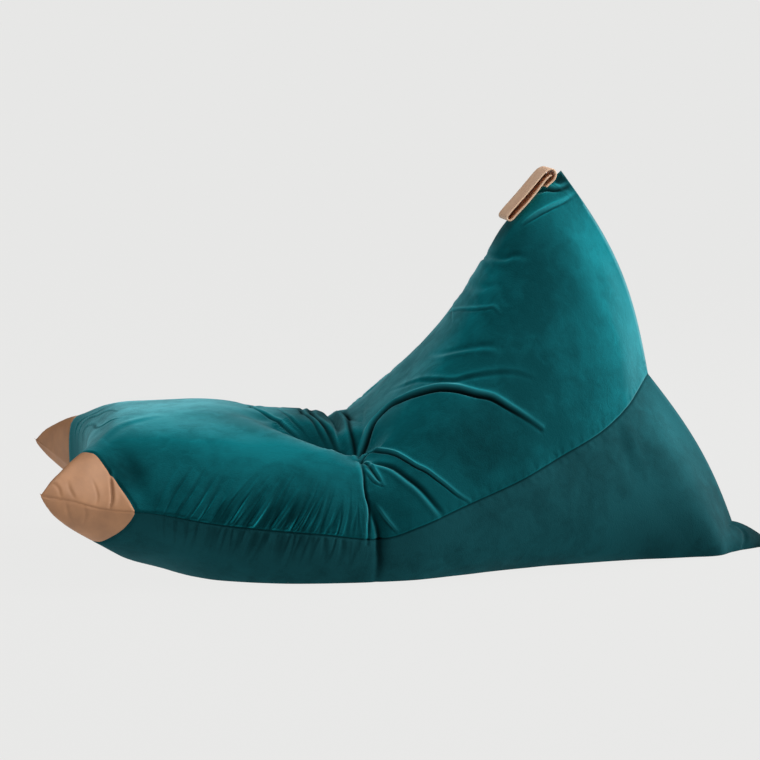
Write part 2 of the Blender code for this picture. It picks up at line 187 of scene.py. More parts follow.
# Patches painted paler or darker, mostly painted shade and painted light, a few blotches in the nap:
# row, turn, reach and how much paler or darker each is painted.
LightPatch = namedtuple("LightPatch", "row turn reach tone")
LIGHT_AND_SHADE_PATCHES = [
    LightPatch(10.6, .24, .080, -.36), LightPatch(3.35, .42, .042, -.58), LightPatch(12.8, .80, .050, -.30),
    LightPatch(12.75, .98, .050, -.26), LightPatch(7.3, .97, .060, -.44), LightPatch(5.6, .62, .090, .14),
    LightPatch(14.70, .44, .070, .40), LightPatch(14.62, .16, .070, .50), LightPatch(14.9, .90, .025, -.50),
    LightPatch(14.40, -.14, .065, .40), LightPatch(12.6, -.62, .090, -.24), LightPatch(14.0, -.55, .080, -.20),
    LightPatch(14.8, -.85, .080, -.40), LightPatch(9.5, -.35, .080, .16), LightPatch(5.0, .14, .060, .16),
    LightPatch(14.79, .27, .035, .32), LightPatch(8.0, .83, .045, .34), LightPatch(3.8, .80, .070, .14),
]
CAP_SIDE, CAP_FRONT = (0.380, -0.486), (0.288, -0.577)    # two points of a cap's edge, from above
CAP_EDGE_DEPTH, CAP_EDGE_WIDTH = 0.0026, 0.0030
GAP = 0.0003                    # between the leather and the velvet
LAST_CAP_ROW, BEHIND_CAPS = 3.6, -0.40        # the row and the y that no cap reaches past
NARROW, CREASE_DEPTH = 0.0052, 0.005          # in a fold narrower than this the trough gets painted shade, full at this depth
SEAM_SHADE, SEAM_SHADE_SHARE = 0.0022, 0.6         # how wide the painted shade along a seam is, and how dark
CREST_HEIGHT, CREST_WIDTH = 0.005, 0.0036     # along a crest a painted highlight: the ridge height that paints it fully, and its width
PANEL_BLEND = 0.004             # over which one panel's nap gives way to the other's

# The net of triangles over the bag. It starts with a few steps a row, up to each row, and a few
# from a side seam to the top or the floor line. Then its edges are halved until each is near the
# length that its place needs, and these lengths grow away from the folds and seams.
ROW_STEPS = ((4, 9), (7, 8), (12, 10), (15, 11))
QUARTER_STEPS, FINE_STEPS, BELOW_FLOOR = 44, 160, -0.004
PLAIN_EDGE, SEAM_EDGE, CAP_EDGE, FRONT_EDGE, PUCKER_EDGE = 0.020, 0.0020, 0.0022, 0.0040, 0.0037
FOLD_EDGE, FOLD_EDGE_SHARE, EDGE_GROWTH = 0.0019, 0.52, 0.47
FAR_SIDE, FAR_COARSER = -0.02, 2.2            # beyond this x, on the side turned away, all is coarser
SPLITS, TOO_LONG = 4, 1.4       # rounds of halving, and how much too long an edge may stay


def spline(points, at):
    """A smooth curve through evenly numbered points, read at fractional numbers."""
    points = np.asarray(points, float)
    last = len(points) - 1
    at = np.clip(np.asarray(at, float), 0, last)
    index = np.minimum(at.astype(int), last - 1)
    step = (at - index).reshape(at.shape + (1,) * (points.ndim - 1))
    before = np.where(index[..., None] == 0, 2 * points[0] - points[1], points[np.maximum(index - 1, 0)])
    start, end = points[index], points[index + 1]
    past_end = (index == last - 1)[..., None]
    after = np.where(past_end, 2 * points[last] - points[last - 1], points[np.minimum(index + 2, last)])
    return 0.5 * (2 * start + (end - before) * step
                  + (2 * before - 5 * start + 4 * end - after) * step ** 2
                  + (3 * start - before - 3 * end + after) * step ** 3)


def smooth(value):
    """An even rise from 0 to 1 that starts and ends level."""
    value = np.clip(value, 0, 1)
    return value * value * (3 - 2 * value)


def bag_point(row, turn):
    """Points of the bag without folds. turn: -1 floor, 0 side seam, 1 top, 2 far seam, 3 floor."""
    row, turn = np.broadcast_arrays(np.asarray(row, float), np.asarray(turn, float))
    column = Section(*np.moveaxis(spline(SECTIONS, row), -1, 0))
    far = turn > 1
    half_turn = np.where(far, 2 - turn, turn)
    upper = half_turn >= 0
    across = np.maximum(np.cos(half_turn * math.pi / 2), 1e-9)
    rise = np.abs(np.sin(half_turn * math.pi / 2))

    x = column.half_width.clip(0) * across ** np.where(upper, column.top_square, column.floor_square)
    x = x + np.where(upper, 0, column.floor_sag.clip(0) * rise ** 2 * across ** SAG_SQUARE)
    to_y = np.where(upper, column.top_y, column.floor_y) - column.seam_y
    to_z = np.where(upper, column.top_z, column.floor_z) - column.seam_z
    inset = 1 - (x / SECTIONS[0].half_width).clip(0, 1) ** FRONT_BOW
    horn = np.where(upper, column.top_horn, column.floor_horn)
    along = (1 - horn) * rise ** column.spread + horn * inset
    flat = (1 - row).clip(0, 1)
    height = (1 - flat) * rise ** np.where(upper, column.top_lift, column.floor_lift) + flat * inset
    length = np.hypot(to_y, to_z) + 1e-9
    bow = np.where(upper, column.top_bow, -column.floor_bow) * np.sin(math.pi * rise)
    y = column.seam_y + to_y * along + bow * to_z / length
    z = column.seam_z + to_z * height - bow * to_y / length
    share = x / (column.half_width.clip(0) + 1e-9)
    tuck = np.where(far & ~upper, FAR_TUCK * smooth(row) * smooth((3.5 - row) / 2) * share ** 2, 0)
    z = z - tuck * to_z * height

    tail = smooth((row - TAIL_START) / (LAST_ROW - TAIL_START))
    low = np.where(upper, 0, ((rise - TAIL_RISE) / (1 - TAIL_RISE)).clip(0, 1)) ** TAIL_FLARE
    return np.stack([np.where(far, -x, x), y + TAIL_REACH * tail * low, z], -1)


ROW_NUMBERS = np.linspace(0, LAST_ROW, 301)
SEAM_RUN = np.concatenate(
    [[0], np.linalg.norm(np.diff(bag_point(ROW_NUMBERS, 0), axis=0), axis=1).cumsum()])


def fold_lines():
    """Each fold's line in space, on both sides of the bag, with the share of it that shows there."""
    lines = []
    for fold in FOLDS:
        path = np.array(fold.path)
        stations = spline(path, np.linspace(0, len(path) - 1, 12 * len(path)))
        line = bag_point(stations[:, 0], stations[:, 1])
        lines += [(fold, line, 1, 1.0), (fold, line * (-1, 1, 1), -1, fold.far)]
    return [entry for entry in lines if entry[3]]


def beside(line, points, reach):
    """Which points lie within reach of a line, their nearest stations and offsets from these."""
    near = ((points > line.min(0) - reach) & (points < line.max(0) + reach)).all(1).nonzero()[0]
    offset = points[near, None] - line[None]
    nearest = np.argmin((offset ** 2).sum(-1), axis=1)
    return near, nearest, offset[np.arange(len(near)), nearest]


def cap_plane(side):
    """A point on a cap's edge and the direction from the bag into the cap."""
    start = Vector((side * CAP_SIDE[0], CAP_SIDE[1], 0))
    end = Vector((side * CAP_FRONT[0], CAP_FRONT[1], 0))
    return start, Vector((0, 0, side)).cross(end - start).normalized()


def from_cap_edge(points):
    """Each point's distance from the edge of the cap on its own side."""
    start, into_cap = cap_plane(1)
    return np.abs((np.abs(points[:, 0]) - start.x) * into_cap.x + (points[:, 1] - start.y) * into_cap.y)


def from_side_seam(spots):
    """Each point's distance from the side seam, straight across the panel."""
    seam = np.where(spots[:, 1] > 1, 2, 0)
    return np.linalg.norm(bag_point(*spots.T) - bag_point(spots[:, 0], seam), axis=1)


def from_front_seam(spots):
    """Each point's distance from the front seam, straight back along the panel."""
    return np.linalg.norm(bag_point(*spots.T) - bag_point(np.zeros(len(spots)), spots[:, 1]), axis=1)


def finest_edges(spots, lines):
    """The longest edge, at each point, that still shows the folds and seams near it."""
    points = bag_point(*spots.T)
    coarser = np.where(points[:, 0] < FAR_SIDE, FAR_COARSER, 1.0)
    wanted = np.full(len(points), PLAIN_EDGE)
    for fold, line, _, _ in lines:
        near, _, away = beside(line, points, 5 * fold.width + 0.02)
        distance = np.linalg.norm(away, axis=1)
        finest = max(FOLD_EDGE_SHARE * fold.width, FOLD_EDGE)
        finest = finest + EDGE_GROWTH * (distance - 2.5 * fold.width).clip(0)
        wanted[near] = np.minimum(wanted[near], finest)
    seam = from_side_seam(spots)
    wanted = np.minimum(wanted, SEAM_EDGE + EDGE_GROWTH * (seam - 0.004).clip(0))
    wanted = np.minimum(wanted, CAP_EDGE + EDGE_GROWTH * (from_cap_edge(points) - 0.005).clip(0))
    wanted = np.minimum(wanted, FRONT_EDGE + EDGE_GROWTH * from_front_seam(spots))
    for band in PUCKERS[:3]:
        inside = (spots[:, 0] > band.first) & (spots[:, 0] < band.last) & (seam < 0.8 * band.length)
        inside &= ((spots[:, 1] > 0) & (spots[:, 1] < 2)) == (band.side > 0)
        wanted = np.where(inside, np.minimum(wanted, PUCKER_EDGE), wanted)
    return wanted * coarser


def split_edges(faces, spots, wanted):
    """Splits each edge that is much longer than wanted at its middle, and the triangles with it."""
    points = bag_point(*spots.T)
    ends = np.sort(np.concatenate([faces[:, (0, 1)], faces[:, (1, 2)], faces[:, (2, 0)]]), axis=1)
    edges, number = np.unique(ends, axis=0, return_inverse=True)
    length = np.linalg.norm(points[edges[:, 0]] - points[edges[:, 1]], axis=1)
    cut = (length > TOO_LONG * wanted[edges].mean(1)) & (np.abs(np.diff(spots[edges, 1])[:, 0]) < 1)
    middle = np.where(cut, len(spots) + cut.cumsum() - 1, -1)[number.ravel()].reshape(3, -1).T
    spots = np.concatenate([spots, spots[edges[cut]].mean(1)])

    cuts = (middle >= 0).sum(1)
    first = np.where(cuts == 1, (middle >= 0).argmax(1), np.where(cuts == 2, (middle < 0).argmax(1) + 1, 0))
    order = (np.arange(3) + first[:, None]) % 3
    a, b, c = np.take_along_axis(faces, order, 1).T
    m, n, p = np.take_along_axis(middle, order, 1).T
    pieces = [(cuts == 0, a, b, c), (cuts == 1, a, m, c), (cuts == 1, m, b, c),
              (cuts == 2, a, m, n), (cuts == 2, m, b, n), (cuts == 2, a, n, c),
              (cuts == 3, a, m, p), (cuts == 3, m, b, n), (cuts == 3, p, n, c), (cuts == 3, m, n, p)]
    faces = np.concatenate([np.stack(corners, -1)[chosen] for chosen, *corners in pieces])
    return faces, spots


def bag_net():
    """Triangles over (row, turn) spots that cover the whole bag, finer near its folds and seams."""
    rows, first = [], 0
    for last, steps in ROW_STEPS:
        rows.extend(np.linspace(first, last, (last - first) * steps, endpoint=False))
        first = last
    rows = np.array(rows + [LAST_ROW])
    rings = []
    for row in rows:
        quarters = []
        for end in (-1, 1):
            fine = np.linspace(0, end, FINE_STEPS + 1)
            line = bag_point(row, fine)
            sunk = (line[:, 2] < BELOW_FLOOR).argmax()     # the floor cuts off what lies below this
            fine, line = (fine[:sunk + 1], line[:sunk + 1]) if sunk else (fine, line)
            run = np.concatenate([[0], np.linalg.norm(np.diff(line, axis=0), axis=1).cumsum()])
            even = np.interp(np.linspace(0, run[-1], QUARTER_STEPS + (0 if sunk else 1)), run, fine)
            quarters.append(np.append(even, end) if sunk else even)
        near = np.concatenate([quarters[0][:0:-1], quarters[1]])
        rings.append(np.concatenate([near, 2 - near[-2:0:-1]]))
    count = len(rings[0])
    spots = np.stack([np.repeat(rows, count), np.concatenate(rings)], -1)

    ring, place = np.divmod(np.arange((len(rows) - 1) * count), count)
    a, b = ring * count + place, ring * count + (place + 1) % count
    c, d = b + count, a + count
    rear = (len(rows) - 1) * count
    corners = [QUARTER_STEPS, 3 * QUARTER_STEPS, rear, rear + count // 2]
    fan_at_a = ~(np.isin(b, corners) | np.isin(d, corners))
    faces = np.concatenate([np.stack([a, b, c], -1)[fan_at_a], np.stack([a, c, d], -1)[fan_at_a],
                            np.stack([b, c, d], -1)[~fan_at_a], np.stack([b, d, a], -1)[~fan_at_a]])
    lines = fold_lines()
    for _ in range(SPLITS):
        faces, spots = split_edges(faces, spots, finest_edges(spots, lines))
    return faces, spots


def fold_relief(points, normals):
    """How far the folds move each point along its normal, and the painted shade in a narrow one's trough and
    painted highlight on its crest.
    """
    move, trough_shade, crest_light = np.zeros((3, len(points)))
    for fold, line, side, share in fold_lines():
        near, nearest, away = beside(line, points, 3 * max(fold.width, fold.roll))
        tangent = np.gradient(line, axis=0)
        tangent /= np.linalg.norm(tangent, axis=1, keepdims=True)
        slip = (away * tangent[nearest]).sum(-1)
        uphill = side * (np.cross(tangent[nearest], away) * normals[near]).sum(-1)
        along = nearest / (len(line) - 1)
        beyond = np.where((nearest == 0) | (nearest == len(line) - 1), np.abs(slip), 0)
        ends = np.sin(math.pi * along.clip(0.03, 0.97)) ** 0.6 * np.exp(-(beyond / fold.width) ** 2)
        deep = (away * normals[near]).sum(-1)        # large on cloth that only passes close by
        sunk = np.exp(-(deep / (3 * fold.width + 0.02)) ** 2)
        crest = uphill - ROLL_PLACE * fold.width
        trough = fold.trough * np.exp(-(uphill / fold.width) ** 2)
        ridge = fold.ridge * np.exp(-(crest / np.where(crest > 0, fold.roll, fold.width)) ** 2)
        np.add.at(move, near, share * ends * sunk * (ridge - trough))
        if fold.width < NARROW:
            # painted shade in the trough of a narrow fold
            np.add.at(trough_shade, near, share * ends * sunk * trough)
            # painted highlight along the crest of a narrow fold
            np.add.at(crest_light, near, share * ends * sunk * fold.ridge * np.exp(-(crest / CREST_WIDTH) ** 2))
    return move, trough_shade, crest_light


def pucker_relief(seam_run, from_seam, upper, rng):
    """Small folds that run out from a side seam across the two panels."""
    move = np.zeros(len(seam_run))
    for band in PUCKERS:
        start, end = (np.interp(row, ROW_NUMBERS, SEAM_RUN) for row in (band.first, band.last))
        place = start
        while place < end:
            middle = math.sin(math.pi * (place - start) / (end - start)) ** 0.5
            length = band.length * rng.uniform(0.45, 1.1) * (0.4 + 0.6 * middle)
            depth = band.depth * rng.uniform(0.35, 1.2) * middle
            lean = band.lean * middle + rng.uniform(-0.12, 0.12)
            width = rng.uniform(*PUCKER_WIDTHS) * (1 + 0.5 * from_seam / length)
            fade = smooth(1.1 - from_seam / length) * smooth(from_seam / 0.010)
            aside = seam_run - place - lean * from_seam
            # a narrow valley with a softer roll on its rear side
            fold = 0.8 * np.exp(-((aside - 1.5 * width) / width) ** 2) - np.exp(-(aside / width) ** 2)
            move += np.where(upper == (band.side > 0), depth * fade * fold, 0)
            place += band.spacing * rng.uniform(0.55, 1.45)
    return move


def painted_light_tone(points):
    """How much paler or darker each point is painted, mostly painted shade and light, 1 where no patch
    reaches.
    """
    tone = np.ones(len(points))
    for stroke in LIGHT_AND_SHADE_PATCHES:
        for side in (1, -1):
            away = points - bag_point(stroke.row, stroke.turn) * (side, 1, 1)
            tone += stroke.tone * np.exp(-(away ** 2).sum(1) / stroke.reach ** 2)
    return tone.clip(0.3, 1.8)


def gather_spots(seam_run, from_seam, upper, near_side):
    """Where each point lies in the pattern of fine gathers, and how strongly they show there."""
    spot = np.zeros((len(seam_run), 3))
    for band in (PUCKERS[0], PUCKERS[2]):
        start, end = (np.interp(row, ROW_NUMBERS, SEAM_RUN) for row in (band.first, band.last))
        middle = np.sin(math.pi * ((seam_run - start) / (end - start)).clip(0, 1)) ** 0.35
        fade = smooth(1.15 - from_seam / (GATHER_REACH * band.length)) * smooth(from_seam / 0.008)
        inside = upper == (band.side > 0)
        spot[:, 0] += np.where(inside, seam_run - band.lean * middle * from_seam, 0)
        spot[:, 2] += np.where(inside, middle * fade * min(1, band.length / PUCKERS[0].length), 0)
    spot[:, 0] += np.where(near_side, 0, FAR_GATHERS)
    spot[:, 1] = from_seam
    return spot


def add_seams(relief, points, spots, from_seam, seam_run, upper):
    """Adds puckers, seams, the edges of the caps and lumps of fill to the relief of the folds."""
    in_cap = spots[:, 0] < LAST_CAP_ROW
    for near_side, seed in ((spots[:, 1] <= 1, 11), (spots[:, 1] > 1, 12)):
        relief[near_side] += pucker_relief(seam_run[near_side], from_seam[near_side], upper[near_side],
                                           np.random.default_rng(seed))
    groove = np.exp(-(from_seam / SEAM_WIDTH) ** 2)
    lip = np.exp(-((from_seam - 1.4 * LIP_WIDTH) / LIP_WIDTH) ** 2)
    relief -= SEAM_DEPTH * groove * np.where(in_cap, CAP_SEAM, 1.0)
    relief += LIP_HEIGHT * lip * (upper & ~in_cap)
    cap_edge = np.exp(-(from_cap_edge(points) / CAP_EDGE_WIDTH) ** 2) * (points[:, 1] < BEHIND_CAPS)
    relief -= CAP_EDGE_DEPTH * cap_edge
    relief += np.array([sum(noise.noise(Vector(point) * often) * height for often, height in FILL_LUMPS)
                        for point in points])
    relief *= np.minimum(spots[:, 0], (LAST_ROW - spots[:, 0]) / 0.5).clip(0, 1) ** 0.8
    pinch = bag_point(*PINCH)
    for side in (1, -1):
        distance = np.linalg.norm(points - pinch * (side, 1, 1), axis=1)
        relief -= PINCH_DEPTH * np.exp(-(distance / PINCH_WIDTH) ** 2)
    return relief


def dressed_bag():
    """The whole bag, caps and all, with its folds and seams, as one sealed skin flat on the floor."""
    faces, spots = bag_net()
    points = bag_point(*spots.T)
    a, b, c = points[faces].transpose(1, 0, 2)
    across = np.cross(b - a, c - a)
    normals = np.zeros_like(points)
    for corner in faces.T:
        np.add.at(normals, corner, across)
    normals /= np.linalg.norm(normals, axis=1, keepdims=True) + 1e-15
    normals, faces = -normals, faces[:, ::-1]        # the net's triangles face into the bag

    from_seam = np.minimum(from_side_seam(spots), from_front_seam(spots))
    seam_run = np.interp(spots[:, 0], ROW_NUMBERS, SEAM_RUN)
    upper = (spots[:, 1] > 0) & (spots[:, 1] < 2)
    relief, trough_shade, crest_light = fold_relief(points, normals)
    relief = add_seams(relief, points, spots, from_seam, seam_run, upper)
    points = points + normals * relief[:, None]

    data = bpy.data.meshes.new("skin")
    data.from_pydata(points.tolist(), [], faces.tolist())
    signed = np.where(upper, from_seam, -from_seam)
    # painted shade, darkest in the troughs of narrow folds and along the seams
    crease_shade = (trough_shade / CREASE_DEPTH).clip(0, 1) + SEAM_SHADE_SHARE * np.exp(-(from_seam / SEAM_SHADE) ** 2)
    for name, values in (("lower_panel", 0.5 - signed / PANEL_BLEND), ("painted_crease_shade", crease_shade),
                         ("painted_crest_highlight", crest_light / CREST_HEIGHT), ("painted_light_tone", painted_light_tone(points))):
        data.attributes.new(name, "FLOAT", "POINT").data.foreach_set("value", values.clip(0, 2))
    gathers = gather_spots(seam_run, from_seam, upper, spots[:, 1] <= 1)
    data.attributes.new("gathers", "FLOAT_VECTOR", "POINT").data.foreach_set("vector", gathers.ravel())
    mesh = bmesh.new()
    mesh.from_mesh(data)
    bpy.data.meshes.remove(data)
    bmesh.ops.remove_doubles(mesh, verts=mesh.verts, dist=1e-5)
    bmesh.ops.recalc_face_normals(mesh, faces=mesh.faces)
    cut_away(mesh, Vector((0, 0, 0)), Vector((0, 0, -1)))
    return mesh


def cut_away(mesh, point, normal):
    """Cuts off what lies on the normal's side of a plane, and closes the cut."""
    geometry = mesh.verts[:] + mesh.edges[:] + mesh.faces[:]
    bmesh.ops.bisect_plane(mesh, geom=geometry, plane_co=point, plane_no=normal, dist=1e-6,
                           clear_outer=True)
    edges = [edge for edge in mesh.edges if edge.is_boundary]
    filled = bmesh.ops.holes_fill(mesh, edges=edges, sides=0)["faces"]
    bmesh.ops.triangulate(mesh, faces=filled)


def linear(colour):
    """A linear colour, with alpha, from an sRGB hex value."""
    parts = [int(colour[i:i + 2], 16) / 255 for i in (0, 2, 4)]
    return [c / 12.92 if c <= 0.04045 else ((c + 0.055) / 1.055) ** 2.4 for c in parts] + [1]


def add_node(tree, kind, settings=None, **links):
    """Adds a node. settings sets its properties and sockets, links joins outputs to its sockets."""
    node = tree.nodes.new(kind)
    for key, value in (settings or {}).items():
        if isinstance(key, int) or key in node.inputs:
            node.inputs[key].default_value = value
        else:
            setattr(node, key, value)
    for key, output in links.items():
        socket = node.inputs[int(key[1:])] if key[1:].isdigit() else node.inputs[key.replace("_", " ")]
        tree.links.new(output, socket)
    return node


def add_piece(name, mesh, *materials):
    """Puts a finished mesh in the scene as a piece, smooth, at the origin."""
    data = bpy.data.meshes.new(name)
    mesh.to_mesh(data)
    mesh.free()
    for finish in materials:
        data.materials.append(finish)
    data.shade_smooth()
    piece = bpy.data.objects.new(name, data)
    bpy.context.scene.collection.objects.link(piece)
    return piece


# Short pile polyester velvet, woven, dyed in the piece. The pile scatters light at its tips, so
# slopes that turn away look pale. The lower panel is cut with its nap the other way, so it looks
# duller. Seams and creases get painted shade and narrow crests a painted highlight, and patches of
# painted shade and painted light lie over it, with a few paler blotches in the nap. The tufts are
# far too fine to show, so they are drawn about 2 mm apart.
NAP_STROKE, NAP_CLOUD, PILE_TUFT, RUMPLE = 0.030, 0.170, 0.0022, 0.014
velvet = bpy.data.materials.new("brushed_teal_velvet")
velvet.use_nodes = True
tree = velvet.node_tree
shader = tree.nodes["Principled BSDF"]
place = add_node(tree, "ShaderNodeTexCoord").outputs["Object"]
cloud = add_node(tree, "ShaderNodeTexNoise", {"Scale": 1 / NAP_CLOUD, "Detail": 3.0}, Vector=place)
stroke = add_node(tree, "ShaderNodeTexNoise", {"Scale": 1 / NAP_STROKE, "Detail": 5.0, "Distortion": 0.6},
                  Vector=place)
tuft = add_node(tree, "ShaderNodeTexNoise", {"Scale": 1 / PILE_TUFT, "Detail": 2.0}, Vector=place)
nap = add_node(tree, "ShaderNodeMath", {"operation": "MULTIPLY_ADD", 1: 0.5},
               _0=stroke.outputs["Fac"], _2=cloud.outputs["Fac"])
nap = add_node(tree, "ShaderNodeMath", {"operation": "MULTIPLY_ADD", 1: 0.35},
               _0=tuft.outputs["Fac"], _2=nap.outputs["Value"])
lower = add_node(tree, "ShaderNodeAttribute", {"attribute_name": "lower_panel"}).outputs["Fac"]
# painted shade in creases and seams
crease_shade = add_node(tree, "ShaderNodeAttribute", {"attribute_name": "painted_crease_shade"}).outputs["Fac"]

# Fine gathers along the side seams: thin creases, where a stretched noise crosses its middle value. They are
# bumped into the surface, and each crease adds painted shade.
gathers = add_node(tree, "ShaderNodeAttribute", {"attribute_name": "gathers"}).outputs["Vector"]
drawn = add_node(tree, "ShaderNodeSeparateXYZ", Vector=gathers).outputs["Z"]
spread = add_node(tree, "ShaderNodeVectorMath",
                  {"operation": "MULTIPLY", 1: (1 / GATHER_SPACING, 1 / GATHER_LENGTH, 0)}, _0=gathers)
wander = add_node(tree, "ShaderNodeTexNoise", {"noise_dimensions": "2D", "Scale": 1.0, "Detail": 0.6},
                  Vector=spread.outputs["Vector"])
from_middle = add_node(tree, "ShaderNodeMath", {"operation": "SUBTRACT", 1: 0.5}, _0=wander.outputs["Fac"])
from_middle = add_node(tree, "ShaderNodeMath", {"operation": "ABSOLUTE"}, _0=from_middle.outputs["Value"])
flat = add_node(tree, "ShaderNodeMapRange", {"interpolation_type": "SMOOTHSTEP", "From Max": 0.15},
                Value=from_middle.outputs["Value"])
gather = add_node(tree, "ShaderNodeMath", {"operation": "MULTIPLY"}, _0=flat.outputs["Result"], _1=drawn)
sunk = add_node(tree, "ShaderNodeMath", {"operation": "SUBTRACT"}, _0=drawn, _1=gather.outputs["Value"])
# the creases between gathers add to the painted shade
crease_shade = add_node(tree, "ShaderNodeMath", {"operation": "MULTIPLY_ADD", "use_clamp": True, 1: 0.46},
                  _0=sunk.outputs["Value"], _2=crease_shade).outputs["Value"]
dyes = []
for dull, bright in (("021f22", "062b2f"), ("0f393e", "16484e")):
    dye = add_node(tree, "ShaderNodeValToRGB", Fac=nap.outputs["Value"])
    dye.color_ramp.elements[0].position, dye.color_ramp.elements[1].position = 0.70, 1.15
    dye.color_ramp.elements[0].color, dye.color_ramp.elements[1].color = linear(dull), linear(bright)
    dyes.append(dye.outputs["Color"])
panel = add_node(tree, "ShaderNodeMix", {"data_type": "RGBA"}, Factor=lower, _6=dyes[0], _7=dyes[1])
# painted shade and painted light of the patches, with a few blotches in the nap
tone = add_node(tree, "ShaderNodeAttribute", {"attribute_name": "painted_light_tone"}).outputs["Fac"]
toned = add_node(tree, "ShaderNodeVectorMath", {"operation": "SCALE"}, _0=panel.outputs[2], Scale=tone)
# painted shade: creases and seams darkened towards near black
dyed = add_node(tree, "ShaderNodeMix", {"data_type": "RGBA", 7: linear("010a0b")},
                Factor=crease_shade, _6=toned.outputs["Vector"])
# painted highlight: narrow crests lightened towards pale teal
crest_highlight = add_node(tree, "ShaderNodeAttribute", {"attribute_name": "painted_crest_highlight"}).outputs["Fac"]
dyed = add_node(tree, "ShaderNodeMix", {"data_type": "RGBA", 7: linear("277078")},
                Factor=crest_highlight, _6=dyed.outputs[2])
tree.links.new(dyed.outputs[2], shader.inputs["Base Color"])
rumple = add_node(tree, "ShaderNodeTexNoise", {"Scale": 1 / RUMPLE, "Detail": 4.0, "Distortion": 0.8},
                  Vector=place)
soft_bump = add_node(tree, "ShaderNodeBump", {"Strength": 0.30, "Distance": 0.0015},
                     Height=rumple.outputs["Fac"])
gather_bump = add_node(tree, "ShaderNodeBump", {"Strength": 1.0, "Distance": 0.0042},
                       Height=gather.outputs["Value"], Normal=soft_bump.outputs["Normal"])
pile_bump = add_node(tree, "ShaderNodeBump", {"Strength": 0.45, "Distance": 0.0008},
                     Height=tuft.outputs["Fac"], Normal=gather_bump.outputs["Normal"])
tree.links.new(pile_bump.outputs["Normal"], shader.inputs["Normal"])
turned = add_node(tree, "ShaderNodeLayerWeight", {"Blend": 0.5}).outputs["Facing"]
tips = add_node(tree, "ShaderNodeValToRGB", Fac=turned)
tips.color_ramp.elements[0].position, tips.color_ramp.elements[1].position = 0.50, 0.96
tips.color_ramp.elements[0].color, tips.color_ramp.elements[1].color = linear("26e6f6"), linear("94eefa")
tree.links.new(tips.outputs["Color"], shader.inputs["Sheen Tint"])
# Sheen weight: duller on the lower panel, varied by the nap's brushing, raised by the painted light of the
# patches and the painted highlight on narrow crests, and faded by the painted shade in creases and seams.
raised = add_node(tree, "ShaderNodeMapRange", {"To Min": 0.75, "To Max": 0.08}, Value=lower)
nap_and_painted_sheen = add_node(tree, "ShaderNodeMapRange",
                   {"From Min": 0.78, "From Max": 1.1, "To Min": 0.76, "To Max": 1.3},
                   Value=nap.outputs["Value"])
nap_and_painted_sheen = add_node(tree, "ShaderNodeMath", {"operation": "MULTIPLY"}, _0=nap_and_painted_sheen.outputs["Result"], _1=tone)
nap_and_painted_sheen = add_node(tree, "ShaderNodeMath", {"operation": "MULTIPLY_ADD", 1: 1.4},
                   _0=crest_highlight, _2=nap_and_painted_sheen.outputs["Value"])
raised = add_node(tree, "ShaderNodeMath", {"operation": "MULTIPLY"}, _0=raised.outputs["Result"],
                  _1=nap_and_painted_sheen.outputs["Value"])
raised = add_node(tree, "ShaderNodeMath", {"operation": "MULTIPLY", "use_clamp": True},
                  _0=raised.outputs["Value"],
                  _1=add_node(tree, "ShaderNodeMapRange", {"To Min": 1.0, "To Max": 0.1},
                              Value=crease_shade).outputs["Result"])
tree.links.new(raised.outputs["Value"], shader.inputs["Sheen Weight"])
shader.inputs["Sheen Roughness"].default_value = 0.60
shader.inputs["Roughness"].default_value = 0.85
shader.inputs["Specular IOR Level"].default_value = 0.03

bag_skin = dressed_bag()
whole_skin = bag_skin.copy()
for side in (1, -1):
    point, into_cap = cap_plane(side)
    cut_away(bag_skin, point - into_cap * GAP / 2, into_cap)
bag = add_piece("velvet_bag", bag_skin, velvet)
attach(bag, "root")
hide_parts("bag_velvet")


# The corner caps: each front corner of the bag is tan leather, an upper and a lower piece sewn
# together along the line of the side seam and joined to the velvet by a plain seam. The leather's
# grain is drawn at 1.6 mm, a little coarser than it is, so that it shows.
MOTTLE, GRAIN = 0.035, 0.0016


def tan_leather(name, dull, bright):
    """Nappa, soft and barely finished: a faint mottle of two shades, fine grain, a dull shine."""
    leather = bpy.data.materials.new(name)
    leather.use_nodes = True
    tree = leather.node_tree
    shader = tree.nodes["Principled BSDF"]
    place = add_node(tree, "ShaderNodeTexCoord").outputs["Object"]
    mottle = add_node(tree, "ShaderNodeTexNoise", {"Scale": 1 / MOTTLE, "Detail": 4.0}, Vector=place)
    tan = add_node(tree, "ShaderNodeValToRGB", Fac=mottle.outputs["Fac"])
    tan.color_ramp.elements[0].position, tan.color_ramp.elements[1].position = 0.3, 0.7
    tan.color_ramp.elements[0].color, tan.color_ramp.elements[1].color = linear(dull), linear(bright)
    tree.links.new(tan.outputs["Color"], shader.inputs["Base Color"])
    grain = add_node(tree, "ShaderNodeTexVoronoi", {"Scale": 1 / GRAIN}, Vector=place)
    grain_bump = add_node(tree, "ShaderNodeBump", {"Strength": 0.12, "Distance": 0.0004},
                          Height=grain.outputs["Distance"])
    tree.links.new(grain_bump.outputs["Normal"], shader.inputs["Normal"])
    shader.inputs["Roughness"].default_value = 0.55
    shader.inputs["Specular IOR Level"].default_value = 0.35
    return leather


cap_leather = tan_leather("tan_nappa_leather", "b28361", "c49069")
for side, name in ((1, "left"), (-1, "right")):
    point, into_cap = cap_plane(side)
    cap_skin = whole_skin.copy()
    cut_away(cap_skin, point + into_cap * GAP / 2, -into_cap)
    cap = add_piece(f"leather_cap_{name}", cap_skin, cap_leather)
    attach(cap, "root")
    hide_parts(f"corner_cap_{name}")
whole_skin.free()


